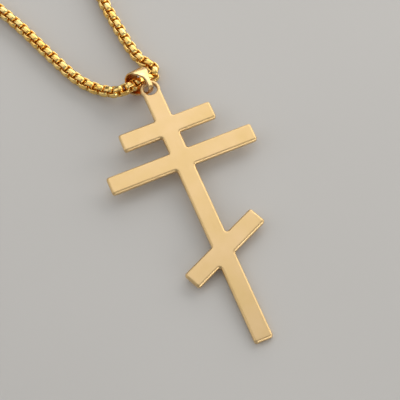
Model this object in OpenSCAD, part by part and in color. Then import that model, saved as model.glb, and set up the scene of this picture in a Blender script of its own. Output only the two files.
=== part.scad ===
// Three-barred cross pendant on a folded band bail and a round box chain, in millimetres.
// It lies as it would on a table: face up, its head propped by the bail, the chain laid in a loop.
// +Z is up and +Y runs from the cross's foot to its head.

/* [Cross] */
// Height of the cross, from the top of its eyelet to its foot
cross_h = 67.6; // [55:0.1:80]
// Thickness of the plate
plate_t = 1.3; // [1:0.1:1.6]
// Width of the upright
upright_w = 4.2; // [3.6:0.1:4.4]
// Width of the three bars
bar_w = 4.4; // [3:0.1:6]
// Length of the top bar
top_bar_l = 22.2; // [14:0.1:30]
// Length of the middle bar
middle_bar_l = 34.8; // [24:0.1:44]
// Length of the slanted foot bar
foot_bar_l = 21.3; // [14:0.1:30]
// Distance from the hole's centre down to the top bar's middle
top_bar_drop = 10.3; // [8:0.1:14]
// Distance from the hole's centre down to the middle bar's middle
middle_bar_drop = 19.1; // [16:0.1:24]
// Distance from the hole's centre down to the slanted bar's middle
foot_bar_drop = 42.6; // [34:0.1:48]
// Sideways shift of the slanted bar
foot_bar_shift = 0.5; // [0:0.1:1]
// Rise of the slanted bar's right end
foot_bar_angle = 24.7; // [10:0.1:35]
// Width of the bevel along every edge
edge_bevel = 0.3; // [0.1:0.05:0.35]
// Radius of the bars' corners, seen from above
corner_r = 0.6; // [0.4:0.05:0.8]
// Radius of the inner corners, where a bar meets the upright
inner_r = 0.5; // [0.3:0.05:0.8]
// Diameter of the eyelet at the head
eyelet_d = 4.6; // [4.4:0.1:4.8]
// Diameter of the hole that the bail passes through
hole_d = 3.1; // [3:0.1:3.2]

/* [Bail] */
// Thickness of the bail's band
band_t = 0.45; // [0.4:0.05:0.5]
// Outer radius of the bail's wide end, which holds the chain
wide_r = 3; // [2.9:0.05:3.1]
// Outer radius of the bail's narrow end, which passes through the hole
narrow_r = 1.8; // [1.75:0.05:1.85]
// Width of the band at its wide end
wide_band_w = 4; // [3.6:0.1:4.1]
// Width of the band at its narrow end
narrow_band_w = 1.3; // [1.2:0.05:1.4]
// Turn of the bail away from the cross's axis
bail_turn = 25; // [24:1:26]
// Roll of the bail about its own length
bail_roll = 26; // [24:1:27]
// Slope of the bail from the hole down to its wide end
bail_slope = 7; // [6:1:8]

/* [Chain] */
// Outer diameter of the chain
chain_d = 2.8; // [2:0.1:3]

/* [Clasp] */
// Diameter of the clasp's rounded body
clasp_wire = 1.8; // [1.4:0.1:2]
// Radius of the clasp's end bends, at the middle of the body
clasp_bend_r = 2.3; // [2.1:0.1:2.6]
// Length of the clasp's straight sides
clasp_side_l = 4; // [3:0.5:6]
// Diameter of the wire of the two rings beside the clasp
ring_wire = 0.8; // [0.6:0.05:0.9]
// Radius of those rings, at the middle of the wire
ring_r = 2.1; // [2:0.05:2.4]

/* [Hidden] */
$fn = 48;

// Where the cross's hole lies, seen from above, with the origin under the middle of the whole piece
hole_at = [36.7, -99.5];

// Cross
upright_side = upright_w / 2;
foot_y = eyelet_d / 2 - cross_h;
cut = 10;
overlap = 0.04;

// Bail, in its own frame: X from the hole to the wide end, Y through the loop, Z across it
narrow_x = 1.4;
wide_x = 3.35;
taper_start_x = 1.6;
taper_end_x = 3.7;
arc_steps = 12;
bail_reach = 2 * (wide_x + wide_r);
axis_rise = sin(bail_roll) * cos(bail_slope);
bail_depth = wide_r * sqrt(1 - axis_rise * axis_rise) + wide_band_w / 2 * axis_rise;

// The bail's wide end rests on the surface, and the cross's head sinks to its lower side
head_sag = 0.25;
bail_z = bail_depth + wide_x * sin(bail_slope);
hole_z = bail_z - head_sag;
foot_reach = -foot_y - edge_bevel;
tilt = asin(hole_z / norm([foot_reach, plate_t / 2])) - atan2(plate_t / 2, foot_reach);

// Clasp, lying across the far end of the loop
clasp_at = [-52, 261];
clasp_z = 2;
clasp_end_x = clasp_side_l / 2 + clasp_bend_r;
eye_wire = 0.9;
eye_r = 1.35;
eye_sink = 0.2;
eye_x = eye_sink - clasp_end_x - clasp_wire / 2 - eye_r;
nub_d = 1.1;

// The two rings stand upright: one through the clasp's eye, the other round its far end
ring_z = ring_r + ring_wire / 2;
ring_reach = sqrt(ring_r * ring_r - pow(ring_z - clasp_z, 2));
clasp_ring_x = eye_x - ring_reach;
end_ring_slack = 0.35;
end_ring_x = clasp_end_x + end_ring_slack;

// Middle line of the chain, from the end ring round to the clasp ring: X and Y measured from the
// hole's centre, and the height above the chain's own resting height
route = [
    [-44.6, 261, 1.1], [-36, 259.5, 0.25], [-24, 254, 0], [-12, 243, 0], [-2, 226, 0],
    [5, 203, 0], [9, 177, 0], [10, 150, 0], [9, 123, 0], [6, 96, 0],
    [3, 70, 0], [0.5, 48, 0], [-1, 30, 0], [-0.4, 20, 0], [0.3, 13.5, 0],
    [1.3, 9.5, 0], [2.5, 7.7, 0], [3.1, 5.8, 0], [2.3, 4.3, 0.1], [0.6, 3.8, 0.45],
    [-1.6, 3.3, 1.4], [-4.3, 2.5, 2.4], [-6.7, 2.7, 2], [-9, 4.6, 0.6], [-11.8, 7.5, 0],
    [-14.3, 11.2, 0], [-17.5, 19, 0], [-22, 31, 0], [-30, 48, 0], [-42, 73, 0],
    [-55, 99, 0], [-68, 127, 0], [-80, 156, 0], [-88, 186, 0], [-89, 213, 0],
    [-84, 236, 0], [-76, 251.8, 0], [-69, 259.3, 0.3], [-63.2, 261, 1.1]
];
chain_lift = 0.05;
chain_rest_z = chain_d / 2 + chain_lift;
sides = 8;
ring_gap = 9.6;

// Plate section with bevelled corners, centred
module bevelled(length) {
    a = length / 2;
    b = plate_t / 2;
    c = edge_bevel;
    polygon([
        [-a, -b + c], [-a + c, -b], [a - c, -b], [a, -b + c],
        [a, b - c], [a - c, b], [-a + c, b], [-a, b - c]
    ]);
}

// A disc with bevelled edges, centred
module disc(radius) {
    rotate_extrude()
        intersection() {
            bevelled(2 * radius);
            translate([0, -plate_t]) square([radius, 2 * plate_t]);
        }
}

// A flat bar along X with bevelled edges and rounded corners, centred
module bar(length) {
    inside = [length / 2 - corner_r, bar_w / 2 - corner_r];
    rotate([90, 0, 90]) linear_extrude(2 * inside[0], center = true) bevelled(bar_w);
    rotate([90, 0, 0]) linear_extrude(2 * inside[1], center = true) bevelled(length);
    for (x = [-1, 1], y = [-1, 1])
        translate([x * inside[0], y * inside[1]]) disc(corner_r);
}

// The upright, from the hole's centre down to the foot
module upright() {
    rotate([90, 0, 0]) linear_extrude(-foot_y - corner_r) bevelled(upright_w);
    translate([0, foot_y + bar_w / 2]) bar(upright_w);
}

// The hole with its own bevels
module hole() {
    flare = edge_bevel / 2;
    cylinder(d = hole_d, h = cut, center = true);
    for (side = [0, 1])
        mirror([0, 0, side]) translate([0, 0, plate_t / 2 - flare])
            cylinder(r1 = hole_d / 2, r2 = hole_d / 2 + 2 * flare, h = 2 * flare);
}

// Filling of an inner corner at the origin, between walls along +X and at the angle given
module inner_corner(angle) {
    middle = [inner_r / tan(angle / 2), inner_r];
    sink = edge_bevel + overlap;
    reach = middle[0] - overlap;
    along = [cos(angle), sin(angle)];
    inward = [-sin(angle), cos(angle)];
    difference() {
        linear_extrude(plate_t, center = true) polygon([
            -sink / sin(angle / 2) * [cos(angle / 2), sin(angle / 2)],
            [reach, -sink],
            [reach, inner_r],
            middle,
            reach * along - inner_r * inward,
            reach * along + sink * inward
        ]);
        translate(middle) {
            cylinder(r = inner_r, h = cut, center = true);
            for (side = [0, 1])
                mirror([0, 0, side]) translate([0, 0, plate_t / 2 - edge_bevel])
                    cylinder(r1 = inner_r, r2 = inner_r + 2 * edge_bevel, h = 2 * edge_bevel);
        }
    }
}

// The four inner corners where a level bar crosses the upright
module level_bar_corners(drop) {
    for (x = [0, 1], y = [0, 1])
        mirror([x, 0]) translate([0, -drop]) mirror([0, y])
            translate([upright_side, bar_w / 2]) inner_corner(90);
}

// The four inner corners where the slanted bar crosses the upright
module slanted_bar_corners() {
    for (half_turn = [0, 180])
        translate([0, -foot_bar_drop]) rotate(half_turn) {
            lean = half_turn == 0 ? foot_bar_shift : -foot_bar_shift;
            rise = (upright_side - lean) * tan(foot_bar_angle);
            edge = bar_w / 2 / cos(foot_bar_angle);
            translate([upright_side, rise + edge]) rotate(foot_bar_angle)
                inner_corner(90 - foot_bar_angle);
            translate([upright_side, rise - edge]) rotate(-90)
                inner_corner(90 + foot_bar_angle);
        }
}

module cross() {
    color("#e9cf9c") placed_cross() difference() {
        union() {
            upright();
            disc(eyelet_d / 2);
            translate([0, -top_bar_drop]) bar(top_bar_l);
            translate([0, -middle_bar_drop]) bar(middle_bar_l);
            translate([foot_bar_shift, -foot_bar_drop]) rotate(foot_bar_angle) bar(foot_bar_l);
            level_bar_corners(top_bar_drop);
            level_bar_corners(middle_bar_drop);
            slanted_bar_corners();
        }
        hole();
    }
}

// Everything below is placed from the hole's centre
module from_hole(z = 0) {
    translate([hole_at[0], hole_at[1], z]) children();
}

module placed_cross() {
    from_hole(hole_z) rotate([tilt, 0, 0]) children();
}

function arc(centre, radius, start, end, steps) = [
    for (k = [0 : steps])
        let (angle = start + (end - start) * k / steps)
        centre + radius * [cos(angle), sin(angle)]
];

// A drop shape: two arcs joined by the straight sides that touch them both
module drop(narrow, wide) {
    touch = 90 + asin((wide - narrow) / (wide_x - narrow_x));
    polygon(concat(
        arc([wide_x, 0], wide, -touch, touch, 2 * arc_steps),
        arc([narrow_x, 0], narrow, touch, 360 - touch, arc_steps)
    ));
}

// The band's outline from the side that shows its taper
module taper() {
    a = narrow_band_w / 2;
    b = wide_band_w / 2;
    polygon([
        [-bail_reach, -a], [taper_start_x, -a], [taper_end_x, -b], [bail_reach, -b],
        [bail_reach, b], [taper_end_x, b], [taper_start_x, a], [-bail_reach, a]
    ]);
}

module bail() {
    color("#d9a441") from_hole(bail_z)
        rotate([0, 0, 90 + bail_turn]) rotate([0, bail_slope, 0]) rotate([bail_roll, 0, 0])
            intersection() {
                rotate([90, 0, 0]) linear_extrude(cut, center = true) difference() {
                    drop(narrow_r, wide_r);
                    drop(narrow_r - band_t, wide_r - band_t);
                }
                linear_extrude(cut, center = true) taper();
            }
}

// Centripetal spline through the route's points
function knot(a, b) = sqrt(norm(b - a));
function mix(a, b, start, end, t) = a + (b - a) * (t - start) / (end - start);
function spline(a, b, c, d, u) =
    let (
        t1 = knot(a, b),
        t2 = t1 + knot(b, c),
        t3 = t2 + knot(c, d),
        t = t1 + u * (t2 - t1),
        ab = mix(a, b, 0, t1, t),
        bc = mix(b, c, t1, t2, t),
        cd = mix(c, d, t2, t3, t)
    )
    mix(mix(ab, bc, 0, t2, t), mix(bc, cd, t1, t3, t), t1, t2, t);
function mirrored(point, about) = 2 * about - point;

last = len(route) - 1;
knots = concat([mirrored(route[1], route[0])], route, [mirrored(route[last - 1], route[last])]);
path = concat(
    [
        for (i = [1 : last])
            let (steps = ceil(norm(knots[i + 1] - knots[i]) / ring_gap))
            for (k = [0 : steps - 1])
                spline(knots[i - 1], knots[i], knots[i + 1], knots[i + 2], k / steps)
    ],
    [route[last]]
);

function unit(v) = v / norm(v);
function heading(i) = unit(path[min(i + 1, len(path) - 1)] - path[max(i - 1, 0)]);
function ring_of_points(i) =
    let (
        ahead = heading(i),
        across = unit(cross(ahead, [0, 0, 1])),
        up = cross(across, ahead)
    )
    [
        for (k = [0 : sides - 1])
            let (angle = 360 * k / sides)
            path[i] + chain_d / 2 * (cos(angle) * across + sin(angle) * up)
    ];

module chain() {
    rings = len(path);
    points = [for (i = [0 : rings - 1]) each ring_of_points(i)];
    walls = [
        for (i = [0 : rings - 2], k = [0 : sides - 1])
            let (
                a = i * sides + k,
                b = i * sides + (k + 1) % sides
            )
            each [[a, b, b + sides], [a, b + sides, a + sides]]
    ];
    start = [for (k = [sides - 1 : -1 : 0]) k];
    end = [for (k = [0 : sides - 1]) (rings - 1) * sides + k];
    color("#e2b350") from_hole(chain_rest_z) polyhedron(points, concat([start], walls, [end]));
}

// A closed ring of round wire, flat on the XY plane
module wire_ring(radius, wire) {
    rotate_extrude() translate([radius, 0]) circle(d = wire);
}

module from_clasp(x, z) {
    from_hole() translate([clasp_at[0] + x, clasp_at[1], z]) children();
}

// One plain piece: a long closed loop, an eye at its left end and a nub for the lever
module clasp() {
    color("#d9a441") from_clasp(0, clasp_z) {
        for (side = [-1, 1]) {
            translate([side * clasp_side_l / 2, 0])
                rotate(side * 90 + 180)
                    rotate_extrude(angle = 180) translate([clasp_bend_r, 0]) circle(d = clasp_wire);
            translate([0, side * clasp_bend_r]) rotate([0, 90, 0])
                cylinder(d = clasp_wire, h = clasp_side_l, center = true);
        }
        translate([eye_x, 0]) wire_ring(eye_r, eye_wire);
        translate([-clasp_side_l / 4, clasp_bend_r + clasp_wire / 2]) sphere(d = nub_d);
    }
}

module upright_ring(x) {
    from_clasp(x, ring_z) rotate([90, 0, 0]) wire_ring(ring_r, ring_wire);
}

module clasp_ring() {
    color("#d9a441") upright_ring(clasp_ring_x);
}

module end_ring() {
    color("#d9a441") upright_ring(end_ring_x);
}

cross();
bail();
chain();
clasp();
clasp_ring();
end_ring();
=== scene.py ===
# Three-barred cross pendant on a folded band bail and a round box chain, dressed for rendering.
# Lengths are in millimetres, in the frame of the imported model, where a heading doesn't say metres.

import math
import random

import bpy
import numpy as np
from mathutils import Matrix, Quaternion, Vector


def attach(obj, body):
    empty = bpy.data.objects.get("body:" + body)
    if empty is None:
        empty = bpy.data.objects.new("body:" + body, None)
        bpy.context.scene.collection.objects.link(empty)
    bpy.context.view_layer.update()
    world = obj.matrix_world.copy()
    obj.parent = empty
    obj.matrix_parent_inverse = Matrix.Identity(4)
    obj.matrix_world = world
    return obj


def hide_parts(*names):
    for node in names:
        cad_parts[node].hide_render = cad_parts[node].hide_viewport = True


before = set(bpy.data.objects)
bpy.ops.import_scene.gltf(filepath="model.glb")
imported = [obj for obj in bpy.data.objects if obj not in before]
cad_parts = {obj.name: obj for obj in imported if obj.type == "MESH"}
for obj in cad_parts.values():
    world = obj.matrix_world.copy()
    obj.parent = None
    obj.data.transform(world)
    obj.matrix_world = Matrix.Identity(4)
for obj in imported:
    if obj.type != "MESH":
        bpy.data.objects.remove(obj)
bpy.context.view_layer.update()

MM = 0.001

# Camera: where it stands, the point of the floor that it looks at, its roll in degrees and its lens
CAMERA_AT = (-9.96, -279.71, 318.6)
CAMERA_AIM = (36.96, -128.15, 0)
CAMERA_ROLL = -5.815
CAMERA_LENS = 144

# The cross's hole, seen from above
HOLE_AT = (36.7, -99.5)

# Chain: the middle line's points, measured from the hole, with the height above the resting height.
# The link band's shoulder, rim and inner corner are shares of its half width and its thickness.
ROUTE = [
    (-44.6, 261, 1.1), (-36, 259.5, 0.25), (-24, 254, 0), (-12, 243, 0), (-2, 226, 0),
    (5, 203, 0), (9, 177, 0), (10, 150, 0), (9, 123, 0), (6, 96, 0),
    (3, 70, 0), (0.5, 48, 0), (-1, 30, 0), (-0.4, 20, 0), (0.3, 13.5, 0),
    (1.3, 9.5, 0), (2.5, 7.7, 0), (3.1, 5.8, 0), (2.3, 4.3, 0.1), (0.6, 3.8, 0.45),
    (-1.6, 3.3, 1.4), (-4.3, 2.5, 2.4), (-6.7, 2.7, 2), (-9, 4.6, 0.6), (-11.8, 7.5, 0),
    (-14.3, 11.2, 0), (-17.5, 19, 0), (-22, 31, 0), (-30, 48, 0), (-42, 73, 0),
    (-55, 99, 0), (-68, 127, 0), (-80, 156, 0), (-88, 186, 0), (-89, 213, 0),
    (-84, 236, 0), (-76, 251.8, 0), (-69, 259.3, 0.3), (-63.2, 261, 1.1),
]
CHAIN_D = 2.8
CHAIN_REST_Z = CHAIN_D / 2 + 0.05
LINK_PITCH = 1.35
LINK_LENGTH = 2.5
LINK_WIRE = 0.55
LINK_DEPTH = 1.48
LINK_CORNER = 0.85
CORNER_STEPS = 4
SHOULDER_AT = 0.62
RIM_AT = 0.97
INNER_AT = 0.88
INNER_DEPTH = 0.84
END_LINK_LENGTH = 2.7
END_LINK_OVERHANG = 0.4
END_LINK_PITCH = 1.475

# How far each link turns from the chain's twist, in degrees, at random
LINK_WOBBLE = 3
WOBBLE_SEED = 7

# Twist of the chain, in degrees, at places along it: its end links lie level for their rings
TWIST_PLACES = (0, 60, 250, 310, 520, 580)
TWISTS = (0, 24, 24, -14, -14, 0)

# Bail, with the sizes and angles of the part's own bail
BAND_T = 0.45
WIDE_R = 3
NARROW_R = 1.8
WIDE_BAND_W = 4
NARROW_BAND_W = 1.3
BAIL_TURN = 25
BAIL_ROLL = 26
BAIL_SLOPE = 7
NARROW_X = 1.4
WIDE_X = 3.35
TAPER_X = (1.6, 3.7)
BAND_ROUND = 0.14
BAND_CORNER_STEPS = 3

# Materials, in metres: how far edges are rounded, and how near a wall has to be for painted shade in a
# gap
EDGE_RADIUS = 0.0005
LINK_SHADE_REACH = 0.0006
FOLD_SHADE_REACH = 0.004
SHADE_SAMPLES = 8
NOISE_RANGE = (0.3, 0.7)
OPEN_RANGE = (0.15, 0.75)

# Stage, in metres. Each light has a name, a place, its size and its power, and faces the cross.
FLOOR_HALF = 2.5
LIGHT_AIM = (0.037, -0.13, 0)
LIGHT_COLOUR = (1, 0.97, 0.93)
LIGHTS = (
    ("overhead", (0.1, 0.13, 0.42), (0.34, 0.34), 0.25),
    ("key", (0.75, 0.35, 0.65), (0.4, 0.4), 0.5),
    ("right", (0.62, 0.3, 0.24), (1.6, 0.6), 6),
    ("left", (-0.55, 0.18, 0.4), (0.8, 0.6), 1.1),
    ("front", (0.35, -0.7, 0.16), (0.6, 0.25), 1.3),
)
SKY = (
    (0, (0.1, 0.1, 0.11)),
    (0.3, (0.22, 0.22, 0.23)),
    (0.62, (0.62, 0.62, 0.62)),
    (1, (0.6, 0.6, 0.6)),
)
SKY_STRENGTH = 0.65


def mesh_object(name, vertices, faces):
    """A smooth mesh in the scene, from points in metres."""
    mesh = bpy.data.meshes.new(name)
    mesh.from_pydata([tuple(v) for v in vertices], [], faces)
    mesh.validate()
    mesh.update()
    mesh.polygons.foreach_set("use_smooth", [True] * len(mesh.polygons))
    piece = bpy.data.objects.new(name, mesh)
    bpy.context.scene.collection.objects.link(piece)
    return piece


def tube_faces(rings, around, first=0, closed=False):
    """Quads between neighbouring rings of points, each ring closed on itself."""
    faces = []
    for i in range(rings if closed else rings - 1):
        j = (i + 1) % rings
        for k in range(around):
            m = (k + 1) % around
            faces.append((
                first + i * around + k,
                first + i * around + m,
                first + j * around + m,
                first + j * around + k,
            ))
    return faces


# Camera

def make_camera():
    """The camera, as fitted to the corners of the cross."""
    camera = bpy.data.objects.new("camera", bpy.data.cameras.new("camera"))
    camera.data.lens = CAMERA_LENS
    camera.data.clip_start = 0.01
    camera.location = Vector(CAMERA_AT) * MM
    look = Vector(CAMERA_AIM) - Vector(CAMERA_AT)
    roll = Quaternion((0, 0, 1), math.radians(CAMERA_ROLL))
    camera.rotation_mode = "QUATERNION"
    camera.rotation_quaternion = look.to_track_quat("-Z", "Y") @ roll
    bpy.context.scene.collection.objects.link(camera)
    bpy.context.scene.camera = camera


# Materials

def new_material(name):
    """A material with one plain shader, and the nodes and links that dress it."""
    material = bpy.data.materials.new(name)
    material.use_nodes = True
    nodes = material.node_tree.nodes
    nodes.clear()
    shader = nodes.new("ShaderNodeBsdfPrincipled")
    output = nodes.new("ShaderNodeOutputMaterial")
    material.node_tree.links.new(shader.outputs["BSDF"], output.inputs["Surface"])
    return material, nodes, material.node_tree.links, shader


def object_noise(nodes, links, scale, stretch=(1, 1, 1), detail=3):
    """Noise over the object's own coordinates, in metres, squeezed by stretch."""
    place = nodes.new("ShaderNodeTexCoord")
    mapping = nodes.new("ShaderNodeMapping")
    mapping.inputs["Scale"].default_value = stretch
    noise = nodes.new("ShaderNodeTexNoise")
    noise.inputs["Scale"].default_value = scale
    noise.inputs["Detail"].default_value = detail
    links.new(place.outputs["Object"], mapping.inputs["Vector"])
    links.new(mapping.outputs["Vector"], noise.inputs["Vector"])
    return noise.outputs["Fac"]


def ramp(nodes, links, value, stops):
    """A colour read from stops, each a place from 0 to 1 and a colour."""
    node = nodes.new("ShaderNodeValToRGB")
    elements = node.color_ramp.elements
    while len(elements) < len(stops):
        elements.new(0.5)
    for element, (at, colour) in zip(elements, stops):
        element.position = at
        element.color = (*colour, 1)
    links.new(value, node.inputs["Fac"])
    return node.outputs["Color"]


def tint(nodes, links, noise, low, high):
    """The colour low where the noise is weak, and high where it is strong."""
    start, end = NOISE_RANGE
    return ramp(nodes, links, noise, [(start, low), (end, high)])


def spread(nodes, links, value, low, high):
    """The number low where the noise is weak, and high where it is strong."""
    node = nodes.new("ShaderNodeMapRange")
    node.inputs["From Min"].default_value, node.inputs["From Max"].default_value = NOISE_RANGE
    node.inputs["To Min"].default_value = low
    node.inputs["To Max"].default_value = high
    links.new(value, node.inputs["Value"])
    return node.outputs["Result"]


def soft_edges(nodes, radius):
    """The surface's direction, with its edges rounded off."""
    node = nodes.new("ShaderNodeBevel")
    node.samples = SHADE_SAMPLES
    node.inputs["Radius"].default_value = radius
    return node.outputs["Normal"]


def painted_edge_masks(nodes, links, rounded):
    """Two masks for painted light and shade on a flat plate: the turned rim of its two faces, and the
    walls between them.
    """
    split = nodes.new("ShaderNodeSeparateXYZ")
    links.new(rounded, split.inputs["Vector"])
    level = nodes.new("ShaderNodeMath")
    level.operation = "ABSOLUTE"
    links.new(split.outputs["Z"], level.inputs[0])
    off, on = (0, 0, 0), (1, 1, 1)
    rim_shade_stops = [(0.7, off), (0.86, on), (0.96, on), (0.99, off)]
    wall_tone_stops = [(0.35, on), (0.75, off)]
    rim, wall = (ramp(nodes, links, level.outputs["Value"], stops) for stops in (rim_shade_stops, wall_tone_stops))
    return rim, wall


def blend(nodes, links, factor, low, high):
    """The colour low where the factor is 0, and high where it is 1. Each is a colour or a socket."""
    node = nodes.new("ShaderNodeMix")
    node.data_type = "RGBA"
    links.new(factor, node.inputs["Factor"])
    for name, colour in (("A", low), ("B", high)):
        socket = next(i for i in node.inputs if i.name == name and i.type == "RGBA")
        if isinstance(colour, tuple):
            socket.default_value = (*colour, 1)
        else:
            links.new(colour, socket)
    return next(o for o in node.outputs if o.type == "RGBA")


def gap_shade_mask(nodes, links, distance):
    """Where shade is painted: 1 in the open and 0 deep in a gap of the size given."""
    node = nodes.new("ShaderNodeAmbientOcclusion")
    node.samples = SHADE_SAMPLES
    node.inputs["Distance"].default_value = distance
    limits = nodes.new("ShaderNodeMapRange")
    limits.inputs["From Min"].default_value, limits.inputs["From Max"].default_value = OPEN_RANGE
    links.new(node.outputs["AO"], limits.inputs["Value"])
    return limits.outputs["Result"]


def bump(nodes, links, height, distance, shader, strength=1, rounded=None):
    """Fine relief on the shader's surface, over its rounded edges where they are given."""
    node = nodes.new("ShaderNodeBump")
    if rounded:
        links.new(rounded, node.inputs["Normal"])
    node.inputs["Distance"].default_value = distance
    node.inputs["Strength"].default_value = strength
    links.new(height, node.inputs["Height"])
    links.new(node.outputs["Normal"], shader.inputs["Normal"])


def satin_gold():
    """Pale gold plating with a fine brushed grain along the upright and a faint mottle. Painted shade
    darkens the rounded rim of each face, and the walls take a painted tone set for how light falls on
    them.
    """
    material, nodes, links, shader = new_material("satin_gold")
    shader.inputs["Metallic"].default_value = 1
    mottle = object_noise(nodes, links, 130, detail=4)
    colour = tint(nodes, links, mottle, (0.9, 0.64, 0.29), (0.97, 0.7, 0.38))
    rounded = soft_edges(nodes, EDGE_RADIUS)
    rim, wall = painted_edge_masks(nodes, links, rounded)
    # Painted shade: a darker line on each face's rounded rim. Painted light and shade: the walls' own
    # flat tone, set for how they are lit.
    colour = blend(nodes, links, rim, colour, (0.72, 0.5, 0.23))
    colour = blend(nodes, links, wall, colour, (0.9, 0.66, 0.34))
    links.new(colour, shader.inputs["Base Color"])
    grain = object_noise(nodes, links, 1, stretch=(9000, 420, 9000), detail=2)
    links.new(spread(nodes, links, grain, 0.3, 0.4), shader.inputs["Roughness"])
    bump(nodes, links, grain, 0.000004, shader, 0.6, rounded)
    return material


def polished_gold():
    """Bright gold plating with the faintest wear, and painted shade: a deeper colour inside a fold."""
    material, nodes, links, shader = new_material("polished_gold")
    shader.inputs["Metallic"].default_value = 1
    cloud = object_noise(nodes, links, 700, detail=3)
    colour = tint(nodes, links, cloud, (0.74, 0.5, 0.22), (0.82, 0.6, 0.31))
    # Painted shade: deep orange where the band folds close on itself.
    colour = blend(nodes, links, gap_shade_mask(nodes, links, FOLD_SHADE_REACH), (0.7, 0.27, 0.05), colour)
    links.new(colour, shader.inputs["Base Color"])
    wear = object_noise(nodes, links, 2400, stretch=(1, 0.4, 1), detail=4)
    links.new(spread(nodes, links, wear, 0.22, 0.32), shader.inputs["Roughness"])
    bump(nodes, links, wear, 0.000003, shader, 0.3)
    return material


def chain_gold():
    """Bright gold plating of the links, a little uneven from link to link, with painted shade deeper in
    the gaps.
    """
    material, nodes, links, shader = new_material("chain_gold")
    shader.inputs["Metallic"].default_value = 1
    cloud = object_noise(nodes, links, 500, detail=3)
    colour = tint(nodes, links, cloud, (0.97, 0.57, 0.12), (1, 0.78, 0.32))
    # Painted shade: deep orange in the gaps between links.
    colour = blend(nodes, links, gap_shade_mask(nodes, links, LINK_SHADE_REACH), (0.8, 0.4, 0.06), colour)
    links.new(colour, shader.inputs["Base Color"])
    wear = object_noise(nodes, links, 3000, detail=3)
    links.new(spread(nodes, links, wear, 0.14, 0.26), shader.inputs["Roughness"])
    bump(nodes, links, wear, 0.000008, shader, 0.6)
    return material


def floor_paint():
    """Plain pale paint."""
    material, nodes, links, shader = new_material("floor_paint")
    cloud = object_noise(nodes, links, 6, detail=3)
    colour = tint(nodes, links, cloud, (0.62, 0.61, 0.59), (0.66, 0.65, 0.63))
    links.new(colour, shader.inputs["Base Color"])
    shader.inputs["Roughness"].default_value = 0.7
    return material


def dress(piece, material):
    """A piece made here takes one material, in a slot of its own."""
    piece.data.materials.clear()
    piece.data.materials.append(material)


def dress_node(name, material):
    """A CAD node keeps its mesh, and each of its material slots takes the material."""
    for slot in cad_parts[name].material_slots:
        slot.material = material


# Chain

def spline_point(a, b, c, d, u):
    """A point between b and c on the centripetal spline through the four."""
    t1 = math.sqrt(np.linalg.norm(b - a))
    t2 = t1 + math.sqrt(np.linalg.norm(c - b))
    t3 = t2 + math.sqrt(np.linalg.norm(d - c))
    t = t1 + u * (t2 - t1)

    def mix(p, q, start, end):
        return p + (q - p) * (t - start) / (end - start)

    ab, bc, cd = mix(a, b, 0, t1), mix(b, c, t1, t2), mix(c, d, t2, t3)
    return mix(mix(ab, bc, 0, t2), mix(bc, cd, t1, t3), t1, t2)


class Curve:
    """The chain's middle line, read by its length from the end ring."""

    STEPS = 40

    def __init__(self, route):
        points = [np.array((x + HOLE_AT[0], y + HOLE_AT[1], z + CHAIN_REST_Z)) for x, y, z in route]
        knots = [2 * points[0] - points[1], *points, 2 * points[-1] - points[-2]]
        path = [
            spline_point(*knots[i - 1:i + 3], k / self.STEPS)
            for i in range(1, len(points))
            for k in range(self.STEPS)
        ]
        self.path = np.array([*path, points[-1]])
        steps = np.linalg.norm(np.diff(self.path, axis=0), axis=1)
        self.along = np.concatenate([[0], np.cumsum(steps)])
        self.length = self.along[-1]

    def point(self, s):
        """The place at this length, which goes straight on past both ends."""
        inside = min(max(s, 0), self.length)
        at = np.array([np.interp(inside, self.along, self.path[:, i]) for i in range(3)])
        if s < 0:
            at += s * self.unit(self.path[1] - self.path[0])
        if s > self.length:
            at += (s - self.length) * self.unit(self.path[-1] - self.path[-2])
        return at

    @staticmethod
    def unit(v):
        return v / np.linalg.norm(v)

    def axes(self, s, reach):
        """Along the chain, level across it, and up, from the line within reach of the place."""
        ahead = self.unit(self.point(s + reach) - self.point(s - reach))
        across = self.unit(np.cross(ahead, (0, 0, 1)))
        return ahead, across, np.cross(across, ahead)


def link_outline(length):
    """Points and outward directions round a link, as a rectangle with round corners."""
    outline = []
    for quarter in range(4):
        sx = 1 if quarter in (0, 3) else -1
        sy = 1 if quarter in (0, 1) else -1
        centre = (sx * (length / 2 - LINK_CORNER), sy * (CHAIN_D / 2 - LINK_CORNER))
        for k in range(CORNER_STEPS + 1):
            angle = math.radians(90 * (quarter + k / CORNER_STEPS))
            out = (math.cos(angle), math.sin(angle))
            outline.append(((centre[0] + LINK_CORNER * out[0], centre[1] + LINK_CORNER * out[1]), out))
    return outline


def link_section():
    """The band's section: depth inwards from the outline, and width across the link's plane."""
    half = LINK_DEPTH / 2

    def drop(width):
        """How far the chain's round outside lies below its top at this width."""
        return CHAIN_D / 2 - math.sqrt((CHAIN_D / 2) ** 2 - width ** 2)

    side = [
        (drop(SHOULDER_AT * half), SHOULDER_AT * half),
        (drop(half), RIM_AT * half),
        (INNER_DEPTH * LINK_WIRE, INNER_AT * half),
    ]
    return [(0, 0), *side, (LINK_WIRE, 0), *[(n, -w) for n, w in reversed(side)]]


def link_points(at, ahead, side, normal, length):
    """One link, with its plane along ahead and side, and its band's width along normal."""
    points = []
    for (x, y), out in link_outline(length):
        for inwards, width in link_section():
            points.append(
                at
                + (x - inwards * out[0]) * ahead
                + (y - inwards * out[1]) * side
                + width * normal
            )
    return points


def link_places(length):
    """Each link's place along the line. The count is odd, so that both end links lie level."""
    run = length + 2 * END_LINK_OVERHANG - 2 * END_LINK_PITCH
    inner = 2 * round(run / LINK_PITCH / 2)
    first = END_LINK_PITCH - END_LINK_OVERHANG
    middle = [first + run * k / inner for k in range(inner + 1)]
    return [-END_LINK_OVERHANG, *middle, length + END_LINK_OVERHANG]


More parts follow.
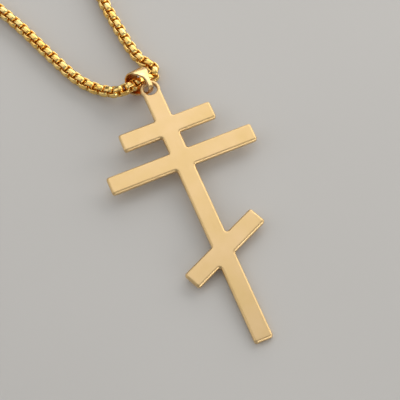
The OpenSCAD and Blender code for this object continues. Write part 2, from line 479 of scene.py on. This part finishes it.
def make_chain():
    """The chain's links as one piece, each a quarter turn from the link before it."""
    curve = Curve(ROUTE)
    dice = random.Random(WOBBLE_SEED)
    places = link_places(curve.length)
    around = len(link_section())
    outline = len(link_outline(LINK_LENGTH))
    vertices, faces = [], []
    for i, s in enumerate(places):
        ahead, across, up = curve.axes(s, LINK_PITCH / 2)
        twist = np.interp(s, TWIST_PLACES, TWISTS) + dice.uniform(-LINK_WOBBLE, LINK_WOBBLE)
        turn = math.radians(90 * (i % 2) + twist)
        side = math.cos(turn) * across + math.sin(turn) * up
        normal = np.cross(ahead, side)
        is_end = i in (0, len(places) - 1)
        length = END_LINK_LENGTH if is_end else LINK_LENGTH
        faces += tube_faces(outline, around, len(vertices), closed=True)
        vertices += link_points(curve.point(s), ahead, side, normal, length)
    piece = mesh_object("chain_links", np.array(vertices) * MM, faces)
    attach(piece, "root")
    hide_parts("chain")
    return piece


# Bail

def bail_place():
    """The bail's own frame in the model: X from the hole to the wide end, Y through the loop."""
    turn, roll, slope = (math.radians(a) for a in (90 + BAIL_TURN, BAIL_ROLL, BAIL_SLOPE))
    rise = math.sin(roll) * math.cos(slope)
    depth = WIDE_R * math.sqrt(1 - rise * rise) + WIDE_BAND_W / 2 * rise
    height = depth + WIDE_X * math.sin(slope)
    return (
        Matrix.Translation((HOLE_AT[0], HOLE_AT[1], height))
        @ Matrix.Rotation(turn, 4, "Z")
        @ Matrix.Rotation(slope, 4, "Y")
        @ Matrix.Rotation(roll, 4, "X")
    )


def drop_outline(wide_steps=28, narrow_steps=14, side_steps=8):
    """Points and outward directions round the band's outer drop shape."""
    touch = 90 + math.degrees(math.asin((WIDE_R - NARROW_R) / (WIDE_X - NARROW_X)))

    def arc(x, radius, start, end, steps):
        points = []
        for k in range(steps + 1):
            angle = math.radians(start + (end - start) * k / steps)
            out = (math.cos(angle), math.sin(angle))
            points.append(((x + radius * out[0], radius * out[1]), out))
        return points

    def straight(a, b):
        (p, out), (q, _) = a, b
        return [
            ((p[0] + (q[0] - p[0]) * k / side_steps, p[1] + (q[1] - p[1]) * k / side_steps), out)
            for k in range(1, side_steps)
        ]

    wide = arc(WIDE_X, WIDE_R, -touch, touch, wide_steps)
    narrow = arc(NARROW_X, NARROW_R, touch, 360 - touch, narrow_steps)
    return [*wide, *straight(wide[-1], narrow[0]), *narrow, *straight(narrow[-1], wide[0])]


def band_half_width(x):
    """Half of the band's width at this distance from the hole."""
    start, end = TAPER_X
    u = min(max((x - start) / (end - start), 0), 1)
    return (NARROW_BAND_W + (WIDE_BAND_W - NARROW_BAND_W) * u) / 2


def band_section(half):
    """A rectangle with round corners: depth inwards from the outline, and place across the band."""
    points = []
    corners = [(0, 1, 0), (1, 1, 90), (1, -1, 180), (0, -1, 270)]
    for inner, sign, start in corners:
        depth = BAND_T - BAND_ROUND if inner else BAND_ROUND
        across = sign * (half - BAND_ROUND)
        for k in range(BAND_CORNER_STEPS + 1):
            angle = math.radians(start + 90 * k / BAND_CORNER_STEPS)
            points.append((depth - BAND_ROUND * math.cos(angle), across + BAND_ROUND * math.sin(angle)))
    return points


def make_bail():
    """The bail's band with rounded edges."""
    place = bail_place()
    vertices = []
    outline = drop_outline()
    for (x, z), out in outline:
        for inwards, across in band_section(band_half_width(x)):
            local = Vector((x - inwards * out[0], across, z - inwards * out[1]))
            vertices.append((place @ local) * MM)
    around = len(band_section(1))
    piece = mesh_object("bail_band", vertices, tube_faces(len(outline), around, closed=True))
    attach(piece, "root")
    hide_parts("bail")
    return piece


# Stage

def make_floor():
    """The plain surface that the piece lies on."""
    corners = [(x * FLOOR_HALF, y * FLOOR_HALF, 0) for x, y in ((-1, -1), (1, -1), (1, 1), (-1, 1))]
    floor = mesh_object("floor", corners, [(0, 1, 2, 3)])
    floor.data.materials.append(floor_paint())


def softbox(name, at, size, power):
    """A soft rectangular light that faces the cross."""
    light = bpy.data.lights.new(name, "AREA")
    light.shape = "RECTANGLE"
    light.size, light.size_y = size
    light.energy = power
    light.color = LIGHT_COLOUR
    holder = bpy.data.objects.new(name, light)
    holder.location = at
    look = Vector(LIGHT_AIM) - Vector(at)
    holder.rotation_mode = "QUATERNION"
    holder.rotation_quaternion = look.to_track_quat("-Z", "Y")
    bpy.context.scene.collection.objects.link(holder)


def make_sky():
    """A pale dome: bright overhead and darker towards the horizon, so that metal has contrast."""
    world = bpy.data.worlds.new("studio")
    world.use_nodes = True
    nodes = world.node_tree.nodes
    links = world.node_tree.links
    place = nodes.new("ShaderNodeTexCoord")
    split = nodes.new("ShaderNodeSeparateXYZ")
    links.new(place.outputs["Generated"], split.inputs["Vector"])
    sky = ramp(nodes, links, split.outputs["Z"], SKY)
    links.new(sky, nodes["Background"].inputs["Color"])
    nodes["Background"].inputs["Strength"].default_value = SKY_STRENGTH
    bpy.context.scene.world = world


make_camera()
make_floor()
for light_row in LIGHTS:
    softbox(*light_row)
make_sky()
bpy.context.scene.view_settings.view_transform = "Standard"

polish = polished_gold()
dress_node("cross", satin_gold())
for ring in ("clasp", "clasp_ring", "end_ring"):
    dress_node(ring, polish)
dress(make_chain(), chain_gold())
dress(make_bail(), polish)
